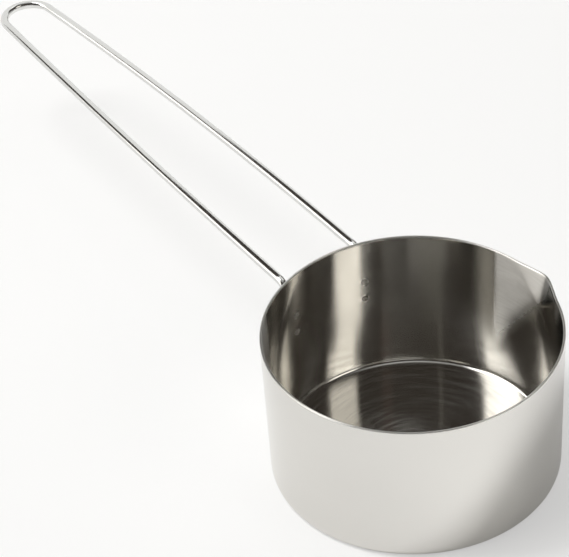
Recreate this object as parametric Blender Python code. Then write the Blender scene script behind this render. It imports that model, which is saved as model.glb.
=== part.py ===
"""A one-cup kitchen measure in stainless steel: a drawn cup with a pour lip pressed into its rim,
and a handle bent from one wire, whose two ends are each spot-welded twice to the outside of the wall.

Units are metres. The cup's axis is Z and its underside is at z = 0. The handle runs along +Y,
and the pour lip is near +X."""

import math

import bmesh
import bpy
from mathutils import Vector

# The drawn cup, outside sizes
CUP_HEIGHT = 0.0470
CUP_RIM_RADIUS = 0.0425
CUP_BASE_RADIUS = 0.0416
CUP_WALL = 0.0007
CUP_EDGE_ROUND = 0.0020
CUP_RIM_ROUND = 0.0002

# The pour lip, a shallow cone pressed out of the rim
LIP_TURN = math.radians(-96)
LIP_REACH = 0.0020
LIP_HALF_WIDTH = 0.0100
LIP_DEPTH = 0.0100
LIP_NOSE_ROUND = 0.0006
LIP_FLANK_POWER = 1.6

# The wire handle
WIRE_DIAMETER = 0.0026
HANDLE_LENGTH = 0.1720
HANDLE_BELOW_RIM = 0.0048
HANDLE_LOOP_RADIUS = 0.0079
LEG_SPACING = 0.0258
LEG_BOW_OUT = 0.0013
LEG_BOW_UP = 0.0009
LEG_BEND_RADIUS = 0.0045
LEG_TAIL = 0.0040

# The spot welds, each a nugget between the wire and a shallow dimple in the wall
WELD_RADIUS = 0.0021
WELD_BELOW_RIM = 0.0144
WELD_PITCH = 0.0061
WELD_DIMPLE = 0.0005
WELD_COLLAR = 0.0010
WELD_GAP = 0.0003

# How finely the round shapes are cut
CUP_COLUMNS = 64
CUP_LEAST_ROW = 0.0002
EDGE_STEPS = 4
WIRE_RINGS_ON_LEG = 16
WIRE_RINGS_ON_BEND = 6
WIRE_RINGS_ON_LOOP = 18
WELD_SPOKES = 20
WELD_RINGS = 4

# The sides of the handle, by the direction of their leg along X
SIDES = {"lip_side": 1, "off_side": -1}
HANDLE_DIRECTION = math.radians(90)
LIP_DIRECTION = HANDLE_DIRECTION + LIP_TURN
WIRE_RADIUS = WIRE_DIAMETER / 2
WIRE_HEIGHT = CUP_HEIGHT - HANDLE_BELOW_RIM
WELD_HEIGHTS = {
    "upper": CUP_HEIGHT - WELD_BELOW_RIM,
    "lower": CUP_HEIGHT - WELD_BELOW_RIM - WELD_PITCH,
}


def clear_scene():
    for old in list(bpy.data.objects):
        bpy.data.objects.remove(old, do_unlink=True)


def steel(name, colour, roughness):
    material = bpy.data.materials.new(name)
    material.use_nodes = True
    shader = material.node_tree.nodes["Principled BSDF"]
    shader.inputs["Base Color"].default_value = (*colour, 1.0)
    shader.inputs["Metallic"].default_value = 1.0
    shader.inputs["Roughness"].default_value = roughness
    return material


def satin_cup_steel():
    return steel("satin_cup_steel", (0.66, 0.65, 0.62), 0.30)


def bright_wire_steel():
    return steel("bright_wire_steel", (0.74, 0.74, 0.73), 0.16)


def weld_steel():
    return steel("weld_steel", (0.52, 0.50, 0.47), 0.42)


def place(name, data, material):
    thing = bpy.data.objects.new(name, data)
    bpy.context.scene.collection.objects.link(thing)
    data.materials.append(material)
    return thing


def polar(radius, angle, height):
    return Vector((radius * math.cos(angle), radius * math.sin(angle), height))


def turn_between(angle, other):
    """The signed angle from other to angle, between minus and plus half a turn."""
    return math.remainder(angle - other, math.tau)


def wall_radius(height):
    """The radius of the wall's outer face, which opens a little towards the rim."""
    share = (height - CUP_EDGE_ROUND) / (CUP_HEIGHT - CUP_EDGE_ROUND)
    return CUP_BASE_RADIUS + (CUP_RIM_RADIUS - CUP_BASE_RADIUS) * share


def leg_axis_radius(height):
    """How far from the cup's axis the wire's centre runs down the wall."""
    return wall_radius(height) + 2 * WELD_GAP + WIRE_RADIUS


def leg_direction(side):
    """The angle about the cup's axis at which a leg runs down the wall."""
    spread = math.asin(LEG_SPACING / 2 / leg_axis_radius(WIRE_HEIGHT))
    return HANDLE_DIRECTION - side * spread


def weld_dimple(distance):
    """How far the wall is pressed in, at a distance along it from the middle of a weld."""
    share = max(0.0, 1 - (distance / WELD_RADIUS) ** 2)
    return WELD_DIMPLE * share**2


def lip_push(angle, height):
    """How far the wall is pushed out into the pour lip."""
    share = 1 - (CUP_HEIGHT - height) / LIP_DEPTH
    if share <= 0:
        return 0.0
    along = abs(turn_between(angle, LIP_DIRECTION)) * CUP_RIM_RADIUS
    along = math.hypot(along, LIP_NOSE_ROUND) - LIP_NOSE_ROUND
    flank = max(0.0, 1 - along / (LIP_HALF_WIDTH * share))
    return LIP_REACH * share * flank**LIP_FLANK_POWER


def wall_point(angle, height):
    """A point of the wall's outer face, with the lip and the weld dimples in it."""
    radius = wall_radius(height)
    push = lip_push(angle, height)
    for side in SIDES.values():
        along = turn_between(angle, leg_direction(side)) * radius
        for weld_height in WELD_HEIGHTS.values():
            push -= weld_dimple(math.hypot(along, height - weld_height))
    return polar(radius + push, angle, height)


def column_angles():
    """Even columns round the cup, with finer ones at the lip and at each leg of the handle."""
    fine = []
    for share in (0, 0.08, 0.18, 0.32, 0.5, 0.72, 1):
        step = share * LIP_HALF_WIDTH / CUP_RIM_RADIUS
        fine += {LIP_DIRECTION - step, LIP_DIRECTION + step}
    for side in SIDES.values():
        for share in (-1, -0.5, 0, 0.5, 1):
            fine.append(leg_direction(side) + share * WELD_RADIUS / CUP_RIM_RADIUS)
    pitch = math.tau / CUP_COLUMNS
    angles = list(fine)
    for i in range(CUP_COLUMNS):
        if all(abs(turn_between(i * pitch, angle)) > 0.6 * pitch for angle in fine):
            angles.append(i * pitch)
    return sorted(angle % math.tau for angle in angles)


def row_heights():
    """Rows up the wall: one above the rounded edge, and finer ones at the welds and the lip."""
    heights = [CUP_HEIGHT - share * LIP_DEPTH for share in (0, 0.2, 0.4, 0.6, 0.8, 1)]
    for weld_height in WELD_HEIGHTS.values():
        heights += [weld_height + share * WELD_RADIUS for share in (-1, -0.5, 0, 0.5, 1)]
    rows = [CUP_EDGE_ROUND]
    for height in sorted(heights):
        if height - rows[-1] > CUP_LEAST_ROW:
            rows.append(height)
    rows[-1] = CUP_HEIGHT
    return rows


def edge_ring(step, angles):
    """One ring of the round between the flat underside and the wall."""
    turn = math.pi / 2 * step / EDGE_STEPS
    radius = CUP_BASE_RADIUS - CUP_EDGE_ROUND * (1 - math.sin(turn))
    height = CUP_EDGE_ROUND * (1 - math.cos(turn))
    return [polar(radius, angle, height) for angle in angles]


def make_cup_body():
    """The outer face of the cup, given its sheet thickness inwards and a softened rim."""
    angles = column_angles()
    rings = [edge_ring(step, angles) for step in range(EDGE_STEPS)]
    rings += [[wall_point(angle, height) for angle in angles] for height in row_heights()]

    skin = bmesh.new()
    rows = [[skin.verts.new(point) for point in ring] for ring in rings]
    skin.faces.new(reversed(rows[0]))
    for low, high in zip(rows, rows[1:]):
        for i in range(len(angles)):
            j = (i + 1) % len(angles)
            skin.faces.new((low[i], low[j], high[j], high[i]))
    mesh = bpy.data.meshes.new("cup_body")
    skin.to_mesh(mesh)
    skin.free()

    cup = place("cup_body", mesh, satin_cup_steel())
    sheet = cup.modifiers.new("sheet_thickness", "SOLIDIFY")
    sheet.thickness = CUP_WALL
    sheet.offset = -1
    sheet.use_even_offset = True
    rim = cup.modifiers.new("softened_rim", "BEVEL")
    rim.width = min(CUP_RIM_ROUND, 0.4 * CUP_WALL)
    rim.segments = 2
    rim.limit_method = "ANGLE"
    rim.angle_limit = math.radians(60)
    mesh.shade_smooth()
    mesh.set_sharp_from_angle(angle=math.radians(50))


def rounded_corner(corner, first, last, radius):
    """Points of an arc that rounds the corner between the ways to first and to last."""
    way_in = (first - corner).normalized()
    way_out = (last - corner).normalized()
    half = way_in.angle(way_out) / 2
    middle = corner + (way_in + way_out).normalized() * radius / math.sin(half)
    start = (corner + way_in * radius / math.tan(half) - middle).normalized()
    end = (corner + way_out * radius / math.tan(half) - middle).normalized()
    arc = []
    for step in range(WIRE_RINGS_ON_BEND + 1):
        arc.append(middle + radius * start.slerp(end, step / WIRE_RINGS_ON_BEND))
    return arc


def loop_centre():
    return CUP_RIM_RADIUS + HANDLE_LENGTH - WIRE_RADIUS - HANDLE_LOOP_RADIUS


def bowed_height(along):
    """The height of the wire at a distance along the handle: level, with a slight rise midway."""
    start = CUP_RIM_RADIUS
    half = (loop_centre() - start) / 2
    return WIRE_HEIGHT + LEG_BOW_UP * (1 - ((along - start - half) / half) ** 2)


def half_handle():
    """One half of the wire on the +X side, from the foot of its leg to the middle of the loop."""
    direction = leg_direction(1)
    foot_height = WELD_HEIGHTS["lower"] - LEG_TAIL
    foot = polar(leg_axis_radius(foot_height), direction, foot_height)
    corner = polar(leg_axis_radius(WIRE_HEIGHT), direction, WIRE_HEIGHT)
    centre = Vector((0, loop_centre()))

    start = corner.xy
    pull = (start + centre + Vector((HANDLE_LOOP_RADIUS, 0))) / 2 + Vector((2 * LEG_BOW_OUT, 0))
    reach = pull - centre
    # The leg meets the loop where a line from the pull point touches it.
    turn = math.atan2(reach.y, reach.x) + math.acos(HANDLE_LOOP_RADIUS / reach.length)
    touch = centre + HANDLE_LOOP_RADIUS * Vector((math.cos(turn), math.sin(turn)))

    run = []
    for step in range(1, WIRE_RINGS_ON_LEG + 1):
        t = step / WIRE_RINGS_ON_LEG
        flat = start.lerp(pull, t).lerp(pull.lerp(touch, t), t)
        if (flat - start).length > 1.5 * LEG_BEND_RADIUS:
            run.append(flat.to_3d() + Vector((0, 0, bowed_height(flat.y))))

    loop = []
    for step in range(1, WIRE_RINGS_ON_LOOP // 2 + 1):
        angle = turn + (math.pi / 2 - turn) * step / (WIRE_RINGS_ON_LOOP // 2)
        flat = centre + HANDLE_LOOP_RADIUS * Vector((math.cos(angle), math.sin(angle)))
        loop.append(flat.to_3d() + Vector((0, 0, bowed_height(flat.y))))
    return [foot, *rounded_corner(corner, foot, run[0], LEG_BEND_RADIUS), *run, *loop]


def handle_points():
    half = half_handle()
    other_half = [Vector((-point.x, point.y, point.z)) for point in reversed(half[:-1])]
    return half + other_half


def make_wire_handle():
    """One wire with square-cut ends, from leg to leg round the loop."""
    points = handle_points()
    curve = bpy.data.curves.new("wire_handle", "CURVE")
    curve.dimensions = "3D"
    curve.bevel_depth = WIRE_RADIUS
    curve.bevel_resolution = 4
    curve.use_fill_caps = True
    spline = curve.splines.new("POLY")
    spline.points.add(len(points) - 1)
    for target, point in zip(spline.points, points):
        target.co = (*point, 1)
    place("wire_handle", curve, bright_wire_steel())


def weld_faces(distance, angle, height):
    """The radii of a weld nugget's face to the wall and of its face to the wire and the open."""
    wall = wall_radius(height)
    inner = wall + WELD_GAP - weld_dimple(distance)
    collar = math.sqrt(max(0.0, 1 - (distance / WELD_RADIUS) ** 2))
    outer = wall + WELD_GAP + WELD_COLLAR * collar
    clear = WIRE_RADIUS + WELD_GAP
    axis = leg_axis_radius(height)
    aside = axis * math.sin(angle)
    if abs(aside) < clear:
        outer = min(outer, axis * math.cos(angle) - math.sqrt(clear**2 - aside**2))
    return inner, max(inner, outer)


def make_weld(name, direction, middle_height, material):
    """A lens of fused steel that fills the dimple and rises as a collar on both sides of the wire."""
    lens = bmesh.new()
    faces = {"inner": [], "outer": []}
    for ring in range(WELD_RINGS):
        distance = WELD_RADIUS * ring / WELD_RINGS
        inner_ring = []
        outer_ring = []
        for spoke in range(WELD_SPOKES if ring else 1):
            turn = math.tau * spoke / WELD_SPOKES
            height = middle_height + distance * math.sin(turn)
            angle = distance * math.cos(turn) / wall_radius(height)
            inner, outer = weld_faces(distance, angle, height)
            inner_ring.append(lens.verts.new(polar(inner, direction + angle, height)))
            outer_ring.append(lens.verts.new(polar(outer, direction + angle, height)))
        faces["inner"].append(inner_ring)
        faces["outer"].append(outer_ring)
    border = []
    for spoke in range(WELD_SPOKES):
        turn = math.tau * spoke / WELD_SPOKES
        height = middle_height + WELD_RADIUS * math.sin(turn)
        angle = WELD_RADIUS * math.cos(turn) / wall_radius(height)
        border.append(lens.verts.new(polar(wall_radius(height) + WELD_GAP, direction + angle, height)))
    for rings in faces.values():
        rings.append(border)
        for i in range(WELD_SPOKES):
            j = (i + 1) % WELD_SPOKES
            lens.faces.new((rings[0][0], rings[1][i], rings[1][j]))
            for low, high in zip(rings[1:], rings[2:]):
                lens.faces.new((low[i], high[i], high[j], low[j]))
    bmesh.ops.recalc_face_normals(lens, faces=lens.faces)
    mesh = bpy.data.meshes.new(name)
    lens.to_mesh(mesh)
    lens.free()
    mesh.shade_smooth()
    mesh.set_sharp_from_angle(angle=math.radians(50))
    place(name, mesh, material)


def make_welds():
    material = weld_steel()
    for side_name, side in SIDES.items():
        for level, height in WELD_HEIGHTS.items():
            make_weld(f"weld_{side_name}_{level}", leg_direction(side), height, material)


clear_scene()
make_cup_body()
make_wire_handle()
make_welds()
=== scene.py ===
import math

import bpy
import numpy as np
from mathutils import Matrix, Vector


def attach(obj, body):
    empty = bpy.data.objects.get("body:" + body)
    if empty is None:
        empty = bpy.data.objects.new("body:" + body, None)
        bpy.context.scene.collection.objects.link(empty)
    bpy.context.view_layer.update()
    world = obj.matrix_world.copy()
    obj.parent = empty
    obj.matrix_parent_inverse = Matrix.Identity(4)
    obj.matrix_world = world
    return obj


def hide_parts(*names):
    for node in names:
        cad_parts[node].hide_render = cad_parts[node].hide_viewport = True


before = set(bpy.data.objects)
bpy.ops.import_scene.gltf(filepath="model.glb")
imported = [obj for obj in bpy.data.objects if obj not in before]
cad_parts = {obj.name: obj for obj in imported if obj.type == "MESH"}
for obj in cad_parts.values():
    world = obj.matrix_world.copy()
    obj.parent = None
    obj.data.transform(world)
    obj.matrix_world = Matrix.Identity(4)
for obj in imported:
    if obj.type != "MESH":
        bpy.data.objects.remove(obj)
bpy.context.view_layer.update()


# The camera stands where the photograph was taken from: a long lens 0.86 m from the middle of
# the rim, 40 degrees above it, on the side away from the handle. The turns at the end set the
# cup where it stands in the picture.
RIM_HEIGHT = 0.0470
CAMERA_AWAY = 0.86042
CAMERA_AZIMUTH = math.radians(-125.774)
CAMERA_ELEVATION = math.radians(40.299)
CAMERA_LENS_MM = 196.01
CAMERA_TURNS = (("Y", 2.330), ("X", 1.029), ("Z", -1.668))


def on_dome(azimuth, elevation):
    """The direction from the cup to a place on a dome over it."""
    flat = math.cos(elevation)
    return Vector((flat * math.cos(azimuth), flat * math.sin(azimuth), math.sin(elevation)))


def facing_cup(azimuth, elevation):
    """The turn of a camera or lamp on the dome that looks back at the cup and stands level."""
    back = on_dome(azimuth, elevation)
    right = Vector((-math.sin(azimuth), math.cos(azimuth), 0))
    return Matrix((right, back.cross(right), back)).transposed()


def add(name, data):
    thing = bpy.data.objects.new(name, data)
    bpy.context.scene.collection.objects.link(thing)
    return thing


camera = add("camera", bpy.data.cameras.new("camera"))
camera.data.sensor_width = 36
camera.data.lens = CAMERA_LENS_MM
aim = facing_cup(CAMERA_AZIMUTH, CAMERA_ELEVATION)
for axis, degrees in CAMERA_TURNS:
    aim = aim @ Matrix.Rotation(math.radians(degrees), 3, axis)
stand = Vector((0, 0, RIM_HEIGHT)) + CAMERA_AWAY * on_dome(CAMERA_AZIMUTH, CAMERA_ELEVATION)
camera.matrix_world = Matrix.Translation(stand) @ aim.to_4x4()
bpy.context.scene.camera = camera
bpy.context.scene.view_settings.view_transform = "Standard"


# The floor is a wide sheet of matt white paper. It is lit from the upper left, so the cup's
# soft shadow falls to the right. Each finish is written with the two classes here: one adds a
# node of any type, and the other lets plain sums on a socket add Math nodes.
FLOOR_REACH = 6.0
FLOOR_DROP = 0.00005
PAPER_WHITE = (0.93, 0.93, 0.925, 1)
PAPER_SHADE = (0.90, 0.90, 0.895, 1)
LIFT_SEEN = 0.45
LIFT_MIRRORED = 0.12


class Tap:
    """An output socket of a finish."""

    def __init__(self, finish, socket):
        self.finish = finish
        self.socket = socket

    def sum(self, operation, first, second, clamp=False):
        settings = {"operation": operation, "use_clamp": clamp}
        return self.finish.node("ShaderNodeMath", settings, {0: first, 1: second})

    def __add__(self, other):
        return self.sum("ADD", self, other)

    def __sub__(self, other):
        return self.sum("SUBTRACT", self, other)

    def __rsub__(self, other):
        return self.sum("SUBTRACT", other, self)

    def __mul__(self, other):
        return self.sum("MULTIPLY", self, other)

    def __pow__(self, other):
        return self.sum("POWER", self, other)

    def __mod__(self, other):
        return self.sum("FLOORED_MODULO", self, other)

    def __abs__(self):
        return self.sum("ABSOLUTE", self, 0)

    def held(self):
        """The same value, kept between 0 and 1."""
        return self.sum("ADD", self, 0, clamp=True)

    __radd__ = __add__
    __rmul__ = __mul__


class Finish:
    """The nodes of one material, or of the surroundings."""

    def __init__(self, owner):
        owner.use_nodes = True
        self.owner = owner
        self.tree = owner.node_tree
        self.tree.nodes.clear()

    def node(self, kind, settings=None, sockets=None, output=0):
        made = self.tree.nodes.new(kind)
        for name, value in (settings or {}).items():
            setattr(made, name, value)
        for name, value in (sockets or {}).items():
            if isinstance(value, Tap):
                self.tree.links.new(value.socket, made.inputs[name])
            else:
                made.inputs[name].default_value = value
        return Tap(self, made.outputs[output])

    def mix(self, share, first, second):
        """A colour share of the way from first to second."""
        return self.node("ShaderNodeMix", {"data_type": "RGBA"}, {0: share, 6: first, 7: second}, 2)

    def noise(self, place, scale, detail=2.0):
        sockets = {"Vector": place, "Scale": scale, "Detail": detail}
        return self.node("ShaderNodeTexNoise", {}, sockets)

    def place(self):
        """Where a point is, in metres."""
        return self.node("ShaderNodeTexCoord", {}, {}, "Object")

    def split(self, place):
        """The three parts of a place or direction."""
        parts = self.node("ShaderNodeSeparateXYZ", {}, {0: place}).socket.node.outputs
        return [Tap(self, part) for part in parts]

    def ramp(self, value, start, end):
        """A soft step from 0 at start to 1 at end."""
        sockets = {"Value": value, "From Min": start, "From Max": end}
        return self.node("ShaderNodeMapRange", {"interpolation_type": "SMOOTHSTEP"}, sockets)

    def end(self, kind, surface):
        output = self.tree.nodes.new("ShaderNodeOutput" + kind)
        self.tree.links.new(surface.socket, output.inputs["Surface"])


paper = Finish(bpy.data.materials.new("floor_paper"))
fibres = paper.noise(paper.place(), 900, 4)
mottle = paper.noise(paper.place(), 7)
paper_colour = paper.mix((fibres * 0.5 + mottle * 0.5).held(), PAPER_WHITE, PAPER_SHADE)
matt = paper.node("ShaderNodeBsdfDiffuse", {}, {"Color": paper_colour, "Roughness": 0.5})
lit = paper.node("ShaderNodeEmission", {}, {"Color": (1, 1, 1, 1), "Strength": 1})
seen = paper.node("ShaderNodeLightPath", {}, {}, "Is Camera Ray")
mirrored = paper.node("ShaderNodeLightPath", {}, {}, "Is Glossy Ray")
lift = seen * LIFT_SEEN + mirrored * LIFT_MIRRORED
paper.end("Material", paper.node("ShaderNodeMixShader", {}, {0: lift, 1: matt, 2: lit}))

floor_mesh = bpy.data.meshes.new("floor")
corners = [(-1, -1), (1, -1), (1, 1), (-1, 1)]
floor_points = [(x * FLOOR_REACH, y * FLOOR_REACH, -FLOOR_DROP) for x, y in corners]
floor_mesh.from_pydata(floor_points, [], [(0, 1, 2, 3)])
floor_mesh.materials.append(paper.owner)
add("floor", floor_mesh)


# The studio has a lamp behind the cup on the left and a weak one overhead, which mostly light the
# paper. The steel shows the room: a tall window on the left, a card on the right, cards over and
# behind the handle, a grey ceiling, and pale walls near the floor, with warm darks between them.
LAMPS = {
    # metres away; azimuth, elevation, half width and half height in degrees; brightness; and
    # whether the steel mirrors it
    "top_lamp": (1.2, 92, 84, 14, 12, 1.9, False),
    "key_lamp": (1.2, 136, 62, 8, 10, 4.5, True),
    "paper_lamp": (1.2, 136, 62, 8, 10, 14.2, False),
}
CARD_BEHIND = 0.24
CARD_EDGES = (-0.03, 0.30, 0.19)  # left, right and top
CARD_WHITE = (0.92, 0.92, 0.90, 1)
ROOM_DARK = (0.040, 0.034, 0.029, 1)
ROOM_PALE = (0.96, 0.96, 0.95, 1)
ROOM_PALE_TOP = 12
ROOM_PALE_SOFT = 4
ROOM_PANELS = {
    # azimuth, half width, lowest, highest, soft edge across, soft edge up, all in degrees; colour
    "dim_wall": (236, 32, 12, 47, 20, 8, (0.050, 0.043, 0.036, 1)),
    "brown_shelf": (256, 4, 14, 47, 4, 8, (0.072, 0.054, 0.045, 1)),
    "wall_gap": (212, 1.6, 14, 47, 2, 8, (0.120, 0.112, 0.098, 1)),
    "window": (152, 21.5, 4, 56, 6, 10, (2.10, 2.05, 1.95, 1)),
    "right_card": (294, 12.5, 26, 43, 5, 6, (1.85, 1.77, 1.60, 1)),
    "handle_card": (27, 30, 48, 66, 12, 5, (1.6, 1.59, 1.55, 1)),
    "back_wall": (24, 16, 14, 46, 10, 12, (0.12, 0.115, 0.10, 1)),
    "ceiling": (0, 190, 70, 100, 1, 16, (0.46, 0.46, 0.45, 1)),
}

for name, (away, azimuth, elevation, wide, high, brightness, mirrored) in LAMPS.items():
    lamp = add(name, bpy.data.lights.new(name, "AREA"))
    lamp.data.shape = "RECTANGLE"
    lamp.data.size = 2 * away * math.tan(math.radians(wide))
    lamp.data.size_y = 2 * away * math.tan(math.radians(high))
    lamp.data.energy = brightness * math.pi * lamp.data.size * lamp.data.size_y
    spot = math.radians(azimuth), math.radians(elevation)
    turn = facing_cup(*spot).to_4x4()
    lamp.matrix_world = Matrix.Translation(away * on_dome(*spot)) @ turn
    lamp.visible_glossy = mirrored

# The card behind the handle only shows in the steel: it throws no light or shade on the paper.
card_mesh = bpy.data.meshes.new("white_card")
left, right, top = CARD_EDGES
card_corners = [(x, CARD_BEHIND, z) for x, z in ((left, 0), (right, 0), (right, top), (left, top))]
card_mesh.from_pydata(card_corners, [], [(0, 1, 2, 3)])
card_white = Finish(bpy.data.materials.new("lit_white_card"))
card_light = card_white.node("ShaderNodeEmission", {}, {"Color": CARD_WHITE, "Strength": 1})
card_white.end("Material", card_light)
card_mesh.materials.append(card_white.owner)
card = add("white_card", card_mesh)
card.visible_camera = False
card.visible_diffuse = False
card.visible_shadow = False

room = Finish(bpy.data.worlds.new("studio"))
bpy.context.scene.world = room.owner
way = room.node("ShaderNodeTexCoord", {}, {}, "Generated")
east, north, climb = room.split(way)
one_radian = math.degrees(1)
bearing = room.node("ShaderNodeMath", {"operation": "ARCTAN2"}, {0: north, 1: east}) * one_radian
rise = room.node("ShaderNodeMath", {"operation": "ARCSINE"}, {0: climb}) * one_radian
pale = room.ramp(rise, ROOM_PALE_TOP + ROOM_PALE_SOFT, ROOM_PALE_TOP - ROOM_PALE_SOFT)
seen_light = room.mix(pale, ROOM_DARK, ROOM_PALE)
for azimuth, half, lowest, highest, soft, soft_up, colour in ROOM_PANELS.values():
    turned = (bearing - (azimuth - 540)) % 360
    aside = abs(turned - 180)
    panel = room.ramp(aside, half + soft / 2, half - soft / 2)
    panel = panel * room.ramp(rise, lowest - soft_up / 2, lowest + soft_up / 2)
    panel = panel * room.ramp(rise, highest + soft_up / 2, highest - soft_up / 2)
    seen_light = room.mix(panel, seen_light, colour)
room.end("World", room.node("ShaderNodeBackground", {}, {"Color": seen_light}))


# The cup is one sheet of stainless steel 0.7 mm thick, drawn in a press, with the pour lip pushed
# out of its rim afterwards. Its wall is brushed round and its base turned, and it is rubbed by
# hand inside the lip. Each spot weld has dented it outside and left a small pit inside.
RIM_RADIUS = 0.0425
BASE_RADIUS = 0.0416
WALL = 0.0007
EDGE_ROUND = 0.0020
RIM_ROUND = 0.00033
LIP_AZIMUTH = math.radians(-6)
LIP_REACH = 0.0020
LIP_HALF_WIDTH = 0.0097
LIP_DEPTH = 0.0100
LIP_NOSE_ROUND = 0.0018
LIP_FLANK_POWER = 1.6
WELD_RADIUS = 0.0021
WELD_DENT = 0.0004
PIT_RADIUS = 0.0014
PIT_DEPTH = 0.00018
PIT_ROW_STEP = 0.00025
PIT_ROWS_EACH_WAY = 6
PLAIN_ROWS = (0.0220, 9)
FINE_ROWS = (0.0226, 42)
WELD_HEIGHTS = (0.0326, 0.0265)
LEG_SPACING = 0.0258
WIRE_RADIUS = 0.0013
WELD_GAP = 0.0003
WIRE_HEIGHT = RIM_HEIGHT - 0.0048
CUP_COLUMNS = 480
CUP_STEEL = (0.770, 0.760, 0.735, 1)
CUP_STEEL_DARK = (0.735, 0.722, 0.692, 1)
CUP_STEEL_SCRATCHED = (0.50, 0.49, 0.46, 1)
# Painted shade: a dark colour for specks on the pit beads, not a colour of the steel.
PAINTED_PIT_SHADE = (0.22, 0.19, 0.16, 1)
RIM_CUT_EDGE = (RIM_HEIGHT - 0.0005, RIM_HEIGHT - 0.0003)
TURNED_BASE = (0.0012, 0.0008)
WELD_SPOT = (0.0013, 0.0008)
RUBBED_SIDES = (math.radians(4), math.radians(16.5), math.radians(13))
RUBBED_EDGE = (0.0260, 0.0400)
RUBBED_SLANT = 0.052
DULL_SIDES = (math.radians(145), math.radians(16), math.radians(11))


def wall_radius(height):
    share = (height - EDGE_ROUND) / (RIM_HEIGHT - EDGE_ROUND)
    return BASE_RADIUS + (RIM_RADIUS - BASE_RADIUS) * share


def leg_axis_radius(height):
    return wall_radius(height) + 2 * WELD_GAP + WIRE_RADIUS


leg_spread = math.asin(LEG_SPACING / 2 / leg_axis_radius(WIRE_HEIGHT))
LEG_AZIMUTHS = (math.pi / 2 - leg_spread, math.pi / 2 + leg_spread)


def turn_from(angles, other):
    """The signed turns from other to angles, between minus and plus half a turn."""
    return (angles - other + math.pi) % math.tau - math.pi


def pressed_wall(angles, height, dent_radius=WELD_RADIUS, dent=WELD_DENT):
    """The radius of the wall's outer face all round at one height, with lip and weld dents."""
    radius = np.full_like(angles, wall_radius(height))
    share = 1 - (RIM_HEIGHT - height) / LIP_DEPTH
    if share > 0:
        along = np.hypot(turn_from(angles, LIP_AZIMUTH) * RIM_RADIUS, LIP_NOSE_ROUND) - LIP_NOSE_ROUND
        flank = np.clip(1 - along / (LIP_HALF_WIDTH * share), 0, None)
        radius += LIP_REACH * share * flank**LIP_FLANK_POWER
    for leg in LEG_AZIMUTHS:
        for weld in WELD_HEIGHTS:
            across = turn_from(angles, leg) * wall_radius(height)
            bearing = np.arctan2(height - weld, across)
            away = np.hypot(across, height - weld) * (1 + 0.16 * np.sin(3 * bearing + 900 * weld))
            radius -= dent * np.clip(1 - (away / dent_radius) ** 2, 0, None) ** 2
    return radius


def crowded_columns(count, places):
    """Angles round the cup that crowd smoothly towards each of the places."""
    around = np.linspace(0, math.tau, 7201)
    density = np.ones_like(around)
    for azimuth, width, strength in places:
        density += strength * np.exp(-((turn_from(around, azimuth) / width) ** 2))
    total = np.concatenate(([0], np.cumsum((density[1:] + density[:-1]) / 2)))
    return np.interp(np.arange(count) / count * total[-1], total, around)


def lathe(name, rings, columns):
    """A closed mesh from rings of (radii, height), the first and last drawn in to a point."""
    cosine, sine = np.cos(columns), np.sin(columns)
    count = len(columns)
    points = [(0, 0, rings[0][1])]
    for radii, height in rings:
        heights = np.broadcast_to(height, count)
        points += list(zip(radii * cosine, radii * sine, heights))
    points.append((0, 0, rings[-1][1]))
    faces = []
    for i in range(count):
        j = (i + 1) % count
        faces.append((0, 1 + i, 1 + j))
        for ring in range(len(rings) - 1):
            low, high = 1 + ring * count, 1 + (ring + 1) * count
            faces.append((low + j, low + i, high + i, high + j))
        last = 1 + (len(rings) - 1) * count
        faces.append((last + j, last + i, len(points) - 1))
    mesh = bpy.data.meshes.new(name)
    mesh.from_pydata([tuple(map(float, point)) for point in points], [], faces)
    mesh.shade_smooth()
    return mesh


def cup_rings(columns):
    """The cup's section from the middle of its underside, up, over the rim and down inside."""
    rows = list(np.linspace(EDGE_ROUND, *PLAIN_ROWS))
    fine_from, fine_count = FINE_ROWS
    for height in np.linspace(fine_from, RIM_HEIGHT - RIM_ROUND, fine_count):
        if min(abs(height - weld) for weld in WELD_HEIGHTS) > (PIT_ROWS_EACH_WAY + 1) * PIT_ROW_STEP:
            rows.append(height)
    for weld in WELD_HEIGHTS:
        for step in range(-PIT_ROWS_EACH_WAY, PIT_ROWS_EACH_WAY + 1):
            rows.append(weld + PIT_ROW_STEP * step)
    rows.sort()
    quarter = np.linspace(0, math.pi / 2, 9)
    level = np.ones_like(columns)
    flat = BASE_RADIUS - EDGE_ROUND
    disc = (0.001, 0.006, 0.012, 0.02, 0.028, 0.035)

    rings = [(radius * level, 0.0) for radius in disc]
    for turn in quarter[:-1]:
        rings.append(((flat + EDGE_ROUND * math.sin(turn)) * level, EDGE_ROUND * (1 - math.cos(turn))))
    rings += [(pressed_wall(columns, height), height) for height in rows]
    rim = pressed_wall(columns, RIM_HEIGHT)
    for turn in quarter[2::2]:
        rings.append((rim - RIM_ROUND * (1 - math.cos(turn)), rows[-1] + RIM_ROUND * math.sin(turn)))
    for turn in reversed(quarter[2::2]):
        reach = WALL - RIM_ROUND * (1 - math.cos(turn))
        rings.append((rim - reach, rows[-1] + RIM_ROUND * math.sin(turn)))
    for height in reversed(rows):
        rings.append((pressed_wall(columns, height, PIT_RADIUS, -PIT_DEPTH) - WALL, height))
    corner = EDGE_ROUND - WALL
    for turn in reversed(quarter[:-1]):
        rings.append(((flat + corner * math.sin(turn)) * level, EDGE_ROUND - corner * math.cos(turn)))
    rings += [(radius * level, WALL) for radius in reversed(disc)]
    return rings


# The columns crowd at the lip and at both legs, over a width in radians and with a strength.
crowds = [(LIP_AZIMUTH, 0.16, 3.0), (LEG_AZIMUTHS[0], 0.06, 3.2), (LEG_AZIMUTHS[1], 0.06, 3.2)]
columns = crowded_columns(CUP_COLUMNS, crowds)
cup = add("cup_sheet", lathe("cup_sheet", cup_rings(columns), columns))
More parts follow.
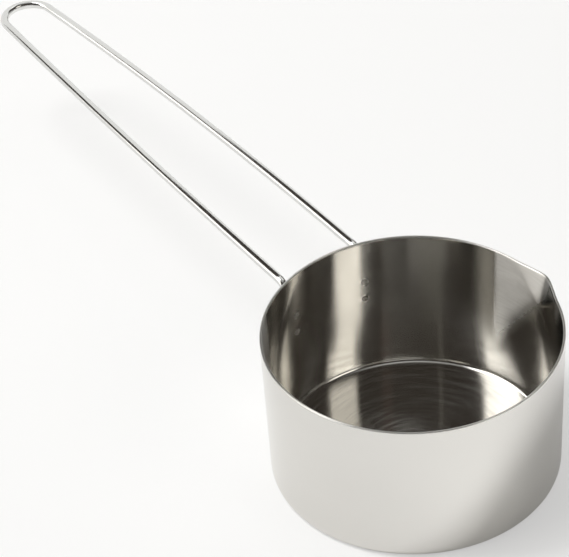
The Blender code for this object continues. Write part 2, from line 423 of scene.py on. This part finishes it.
# The texture space is square round the axis, so the brushing's blur follows the turning.
cup.data.use_auto_texspace = False
cup.data.texspace_location = (0, 0, RIM_HEIGHT / 2)
cup.data.texspace_size = (RIM_RADIUS, RIM_RADIUS, RIM_HEIGHT / 2)

steel = Finish(bpy.data.materials.new("brushed_cup_steel"))
spot = steel.place()
east, north, height = steel.split(spot)
radius = (east * east + north * north) ** 0.5
run = (radius + height) * 1000
grain_place = steel.node("ShaderNodeCombineXYZ", {}, {0: east * 55, 1: north * 55, 2: run * 3.2})
grain = steel.noise(grain_place, 1, 3)
broad_place = steel.node("ShaderNodeCombineXYZ", {}, {0: east * 28, 1: north * 28, 2: run * 0.8})
broad = steel.noise(broad_place, 1, 2)
cloud = steel.noise(spot, 60, 2)
tone = (grain * 0.6 + broad * 0.4).held()
edge = steel.ramp(height, *RIM_CUT_EDGE)
turned = steel.ramp(height, *TURNED_BASE)
bearing = steel.node("ShaderNodeMath", {"operation": "ARCTAN2"}, {0: north, 1: east})

# The rubbed zone beside the lip has a slanting lower edge. The wall across from it is duller.
facing = steel.node("ShaderNodeTexCoord", {}, {}, "Normal")
outward = steel.node("ShaderNodeVectorMath", {"operation": "DOT_PRODUCT"}, {0: spot, 1: facing}, "Value")
inside = steel.ramp(outward, -0.01, -0.03)
rubbed = inside * steel.ramp(height + bearing * RUBBED_SLANT, *RUBBED_EDGE)
rubbed = rubbed * steel.ramp(abs(bearing - RUBBED_SIDES[0]), *RUBBED_SIDES[1:])
dull = inside * steel.ramp(abs(bearing - DULL_SIDES[0]), *DULL_SIDES[1:])
scratch_place = steel.node("ShaderNodeCombineXYZ", {}, {0: east * 80, 1: north * 80, 2: run * 1.0})
scratches = steel.ramp(steel.noise(scratch_place, 1, 3), 0.40, 0.70)
steel_colour = steel.mix(tone, CUP_STEEL_DARK, CUP_STEEL)
steel_colour = steel.mix((rubbed * 0.3 + turned * 0.25) * scratches, steel_colour, CUP_STEEL_SCRATCHED)
roughness = 0.085 + grain * 0.03 + broad * 0.03 + cloud * 0.02 + edge * 0.24
roughness = roughness + rubbed * (0.30 + scratches * 0.07) + turned * scratches * 0.085 + dull * 0.30

# Each weld's pit is beaded, with painted shade in dark specks among the beads.
pits = 0
for leg in LEG_AZIMUTHS:
    for weld in WELD_HEIGHTS:
        inside = wall_radius(weld) - WALL
        middle = (inside * math.cos(leg), inside * math.sin(leg), weld)
        away = steel.node("ShaderNodeVectorMath", {"operation": "DISTANCE"}, {0: spot, 1: middle}, "Value")
        pits = steel.ramp(away, *WELD_SPOT) + pits
beads = steel.noise(spot, 900, 2)
# Painted shade: dark specks on the beads of each pit.
steel_colour = steel.mix(pits * steel.ramp(beads, 0.56, 0.64), steel_colour, PAINTED_PIT_SHADE)
roughness = roughness + pits * 0.24
relief = grain * 0.7 + broad * 0.5 + (rubbed * 0.6 + turned * 1.5) * (scratches - 0.5)
brushed_bump = {"Strength": 0.02, "Distance": 0.0002, "Height": relief}
brushed_face = steel.node("ShaderNodeBump", {}, brushed_bump)
beaded_bump = {"Strength": 0.5, "Distance": 0.0002, "Height": pits * beads, "Normal": brushed_face}
beaded_face = steel.node("ShaderNodeBump", {}, beaded_bump)
shader = steel.node("ShaderNodeBsdfPrincipled", {}, {
    "Base Color": steel_colour,
    "Metallic": 1.0,
    "Roughness": roughness,
    "Anisotropic": 0.9,
    "Anisotropic Rotation": 0.25,
    "Normal": beaded_face,
})
steel.end("Material", shader)
cup.data.materials.append(steel.owner)
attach(cup, "root")
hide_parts("cup_body")


# The handle is one length of bright drawn wire, 2.6 mm thick. It is bent into a long loop with
# a slight outward and upward bow in each leg, and its two ends are bent down against the wall.
HANDLE_LENGTH = 0.1720
LOOP_RADIUS = 0.0079
LEG_BOW_OUT = 0.0013
LEG_BOW_UP = 0.0009
LEG_BEND_RADIUS = 0.0045
LEG_TAIL = 0.0040
WIRE_SIDES = 24
WIRE_STEEL = (0.80, 0.80, 0.79, 1)
WIRE_STEEL_DARK = (0.72, 0.72, 0.71, 1)
LOOP_CENTRE = Vector((0, RIM_RADIUS + HANDLE_LENGTH - WIRE_RADIUS - LOOP_RADIUS, 0))


def bowed_height(along):
    half = (LOOP_CENTRE.y - RIM_RADIUS) / 2
    return WIRE_HEIGHT + LEG_BOW_UP * (1 - ((along - RIM_RADIUS - half) / half) ** 2)


def down_wall(height):
    radius = leg_axis_radius(height)
    azimuth = LEG_AZIMUTHS[0]
    return Vector((radius * math.cos(azimuth), radius * math.sin(azimuth), height))


def half_wire():
    """The middle of the wire on the lip's side, from its foot to the far end of the loop."""
    foot = down_wall(WELD_HEIGHTS[1] - LEG_TAIL)
    corner = down_wall(WIRE_HEIGHT)
    start = corner.xy.to_3d()
    pull = (start + LOOP_CENTRE + Vector((LOOP_RADIUS, 0, 0))) / 2 + Vector((2 * LEG_BOW_OUT, 0, 0))
    reach = pull - LOOP_CENTRE
    turn = math.atan2(reach.y, reach.x) + math.acos(LOOP_RADIUS / reach.length)
    touch = LOOP_CENTRE + LOOP_RADIUS * Vector((math.cos(turn), math.sin(turn), 0))

    leg = []
    for step in range(1, 65):
        share = step / 64
        point = start.lerp(pull, share).lerp(pull.lerp(touch, share), share)
        if (point - start).length > 1.5 * LEG_BEND_RADIUS:
            leg.append(point + Vector((0, 0, bowed_height(point.y))))
    way_in, way_out = (foot - corner).normalized(), (leg[0] - corner).normalized()
    half = way_in.angle(way_out) / 2
    middle = corner + (way_in + way_out).normalized() * LEG_BEND_RADIUS / math.sin(half)
    first = (corner + way_in * LEG_BEND_RADIUS / math.tan(half) - middle).normalized()
    last = (corner + way_out * LEG_BEND_RADIUS / math.tan(half) - middle).normalized()
    bend = [middle + LEG_BEND_RADIUS * first.slerp(last, step / 16) for step in range(17)]
    tail = [foot.lerp(bend[0], step / 8) for step in range(8)]
    loop = []
    for step in range(1, 29):
        angle = turn + (math.pi / 2 - turn) * step / 28
        point = LOOP_CENTRE + LOOP_RADIUS * Vector((math.cos(angle), math.sin(angle), 0))
        loop.append(point + Vector((0, 0, bowed_height(point.y))))
    return tail + bend + leg + loop


def drawn_wire(name, path, radius, sides):
    """A round tube along the path with square-cut ends, and how far along and round each point is."""
    run = [0.0]
    for last, point in zip(path, path[1:]):
        run.append(run[-1] + (point - last).length)
    side = Vector((0, 0, 1)).cross(path[1] - path[0]).normalized()
    points, spots, faces = [], [], []
    for i, point in enumerate(path):
        way = (path[min(i + 1, len(path) - 1)] - path[max(i - 1, 0)]).normalized()
        side = (side - way * side.dot(way)).normalized()
        over = way.cross(side)
        for k in range(sides):
            turn = math.tau * k / sides
            points.append(point + radius * (side * math.cos(turn) + over * math.sin(turn)))
            spots.append((math.cos(turn), math.sin(turn), run[i]))
    for i in range(len(path) - 1):
        for k in range(sides):
            j = (k + 1) % sides
            low, high = i * sides, (i + 1) * sides
            faces.append((low + k, low + j, high + j, high + k))
    faces.append(tuple(reversed(range(sides))))
    faces.append(tuple(range(len(points) - sides, len(points))))
    mesh = bpy.data.meshes.new(name)
    mesh.from_pydata(points, [], faces)
    mesh.shade_smooth()
    mesh.set_sharp_from_angle(angle=math.radians(50))
    marks = mesh.attributes.new("along_wire", "FLOAT_VECTOR", "POINT")
    marks.data.foreach_set("vector", np.array(spots).ravel())
    return mesh


half_path = half_wire()
path = half_path + [Vector((-point.x, point.y, point.z)) for point in reversed(half_path[:-1])]
wire = add("handle_wire", drawn_wire("handle_wire", path, WIRE_RADIUS, WIRE_SIDES))

bright = Finish(bpy.data.materials.new("bright_drawn_wire"))
along_wire = bright.node("ShaderNodeAttribute", {"attribute_name": "along_wire"}, {}, "Vector")
stretched = bright.node(
    "ShaderNodeVectorMath", {"operation": "MULTIPLY"}, {0: along_wire, 1: (9, 9, 90)}
)
drawing = bright.noise(stretched, 1, 3)
handling = bright.noise(bright.place(), 160, 3)
wire_colour = bright.mix(drawing, WIRE_STEEL_DARK, WIRE_STEEL)
wire_relief = bright.node(
    "ShaderNodeBump", {}, {"Strength": 0.10, "Distance": 0.0001, "Height": drawing}
)
shader = bright.node("ShaderNodeBsdfPrincipled", {}, {
    "Base Color": wire_colour,
    "Metallic": 1.0,
    "Roughness": 0.09 + drawing * 0.06 + handling * 0.05,
    "Normal": wire_relief,
})
bright.end("Material", shader)
wire.data.materials.append(bright.owner)
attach(wire, "root")
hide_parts("wire_handle")


# Four resistance welds hold the wire to the wall, two on each leg. Each is a lens of fused
# steel, duller and rougher than the sheet, with a brown heat tint in patches.
WELD_STEEL = (0.55, 0.53, 0.50, 1)
WELD_TINT = (0.42, 0.36, 0.30, 1)

fused = Finish(bpy.data.materials.new("fused_weld_steel"))
speckle = fused.noise(fused.place(), 2600, 4)
tint = fused.noise(fused.place(), 700, 2)
fused_relief = fused.node(
    "ShaderNodeBump", {}, {"Strength": 0.35, "Distance": 0.0001, "Height": speckle}
)
shader = fused.node("ShaderNodeBsdfPrincipled", {}, {
    "Base Color": fused.mix(tint, WELD_TINT, WELD_STEEL),
    "Metallic": 1.0,
    "Roughness": 0.34 + speckle * 0.2,
    "Normal": fused_relief,
})
fused.end("Material", shader)
for side in ("lip_side", "off_side"):
    for level in ("upper", "lower"):
        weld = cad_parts[f"weld_{side}_{level}"]
        weld.data.materials.clear()
        weld.data.materials.append(fused.owner)
